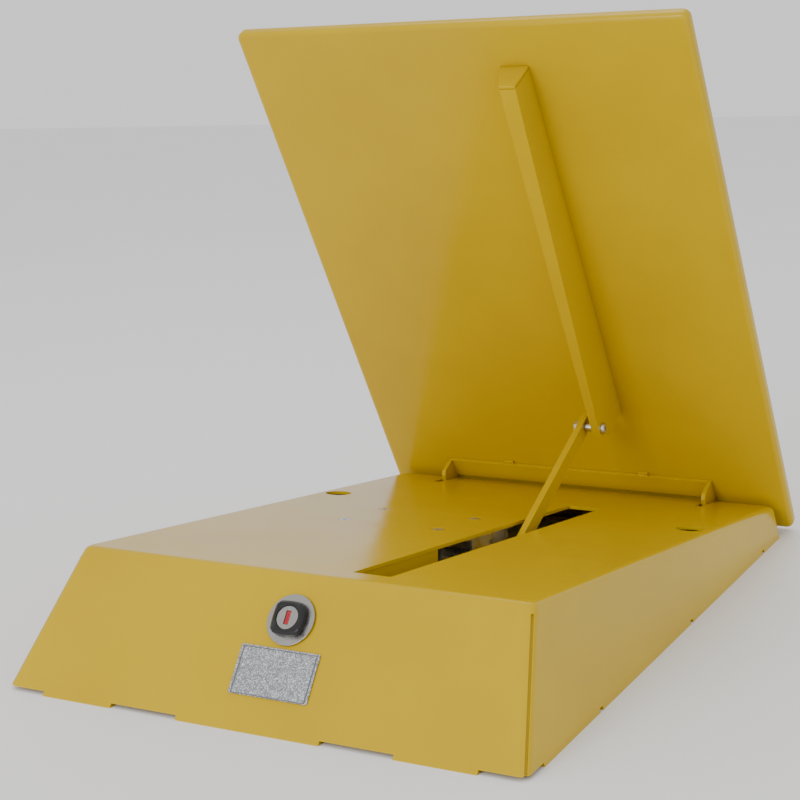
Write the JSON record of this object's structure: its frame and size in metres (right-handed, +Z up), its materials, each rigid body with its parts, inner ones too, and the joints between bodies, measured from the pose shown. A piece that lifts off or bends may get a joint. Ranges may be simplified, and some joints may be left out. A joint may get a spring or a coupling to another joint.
{
  "type": "folding parking barrier",
  "caption": "Lockable folding parking barrier: a wedge-shaped sheet-steel base with a raised hinged flap, a sliding stay arm and a key lock in the front wall.",
  "frame": {"origin": "middle of the rest model's footprint, on the ground", "axes": "+Z up; front wall with the lock towards -Y; flap hinge at the low rear edge, along X; +X is the viewer's right"},
  "size_m": [0.4746, 0.6524, 0.5197],
  "materials": {
    "yellow_paint": "satin powder coat",
    "zinc_plated": "zinc plated",
    "stainless": "brushed stainless",
    "black_metal": "satin black",
    "black_nylon": "matte",
    "red_shutter": "satin",
    "label_foil": "brushed foil"
  },
  "bodies": {
    "base": {"base_shell": "yellow_paint", "trough_left_wall": "yellow_paint", "trough_right_wall": "yellow_paint", "foot_slide": "zinc_plated", "left_anchor_plate": "zinc_plated", "right_anchor_plate": "zinc_plated", "left_hinge_cheeks": "zinc_plated", "right_hinge_cheeks": "zinc_plated", "left_hinge_pin": "zinc_plated", "right_hinge_pin": "zinc_plated", "left_hinge_clip": "zinc_plated", "right_hinge_clip": "zinc_plated", "latch_plate": "zinc_plated", "latch_spring": "zinc_plated", "latch_screw_1": "zinc_plated", "latch_screw_2": "zinc_plated", "latch_screw_3": "zinc_plated", "latch_screw_4": "zinc_plated", "latch_nut_1": "zinc_plated", "latch_nut_2": "zinc_plated", "latch_nut_3": "zinc_plated", "latch_nut_4": "zinc_plated", "lever_stud": "zinc_plated", "lever_clip": "zinc_plated", "lock_rosette": "stainless", "lock_housing": "black_metal", "lock_nut": "zinc_plated", "label_plate": "label_foil"},
    "flap": {"flap_tray": "yellow_paint", "flap_outer_skin": "yellow_paint", "flap_hinge_bracket": "yellow_paint", "stay_channel": "yellow_paint", "channel_end_plate": "yellow_paint", "pivot_screw": "zinc_plated", "pivot_spacer": "zinc_plated", "pivot_nut": "zinc_plated"},
    "stay_arm": {"stay_arm": "yellow_paint", "foot_shoe": "black_nylon", "foot_rivet": "zinc_plated"},
    "lock_core": {"lock_core": "stainless", "key_shutter": "red_shutter", "lock_cam": "zinc_plated", "cam_screw": "zinc_plated"},
    "release_lever": {"release_lever": "zinc_plated"},
    "latch_bolt": {"latch_bolt": "zinc_plated"}
  },
  "joints": [
    {"name": "flap_hinge", "type": "hinge", "parent": "base", "child": "flap", "pos_m": [0, 0.28477, 0.01709], "axis": [1, 0, 0], "range_deg": [0, 54.6]},
    {"name": "arm_pivot", "type": "hinge", "parent": "flap", "child": "stay_arm", "pos_m": [0.0497, 0.20274, 0.12172], "axis": [1, 0, 0], "range_deg": [-90, 0]},
    {"name": "lock_turn", "type": "hinge", "parent": "base", "child": "lock_core", "pos_m": [0.0124, -0.26974, 0.07299], "axis": [0, -0.7912, 0.6116], "range_deg": [0, 90]},
    {"name": "lever_swing", "type": "hinge", "parent": "base", "child": "release_lever", "pos_m": [-0.00262, -0.12632, 0.07028], "axis": [0, 0.1341, 0.991], "range_deg": [-7.2, 0]},
    {"name": "bolt_slide", "type": "slide", "parent": "base", "child": "latch_bolt", "axis": [1, 0, 0], "range_m": [0, 0.018], "deforming": ["latch_spring"]}
  ],
  "couplings": [
    {"joint": "arm_pivot", "follows": "flap_hinge", "ratio": -1.6484},
    {"joint": "lever_swing", "follows": "lock_turn", "ratio": -0.08},
    {"joint": "bolt_slide", "follows": "lock_turn", "m_per_rad": 0.011459}
  ]
}
